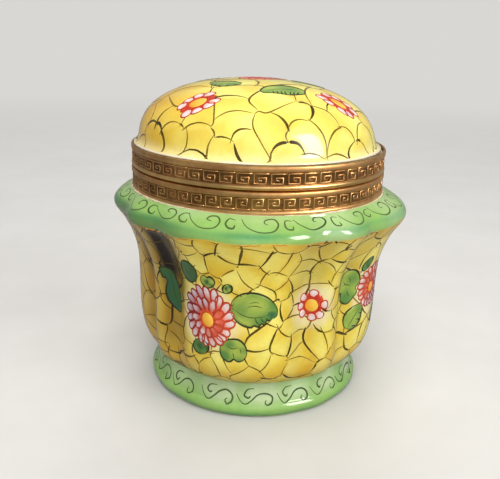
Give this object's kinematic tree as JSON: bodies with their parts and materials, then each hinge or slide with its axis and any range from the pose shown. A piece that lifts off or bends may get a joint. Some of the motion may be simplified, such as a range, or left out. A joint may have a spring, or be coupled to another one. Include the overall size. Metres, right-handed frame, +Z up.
{
  "type": "porcelain trinket box",
  "caption": "Round lobed porcelain box with a scalloped rim, a round foot and a domed lid, hinged at the back between two brass collars.",
  "frame": {"origin": "on the table, at the middle of the footprint, under the box's upright axis", "axes": "+Z up, -Y the front, +Y the side with the hinge"},
  "size_m": [0.083, 0.083, 0.0869],
  "materials": {
    "painted_porcelain": "glossy glaze over hand painting, yellow ground with green rim and foot",
    "antique_brass": "antique patina, stamped relief",
    "pin_brass": "worn",
    "plaster": "matt, off-white"
  },
  "bodies": {
    "base": {"bowl": "painted_porcelain", "base_bedding": "plaster", "base_collar": "antique_brass", "base_hinge_leaf": "antique_brass", "hinge_pin": "pin_brass"},
    "lid": {"dome": "painted_porcelain", "lid_bedding": "plaster", "lid_collar": "antique_brass", "lid_hinge_leaf": "antique_brass"}
  },
  "joints": [
    {"name": "lid_hinge", "type": "hinge", "parent": "base", "child": "lid", "pos_m": [0, 0.0371, 0.0635], "axis": [-1, 0, 0], "range_deg": [0, 105]}
  ]
}
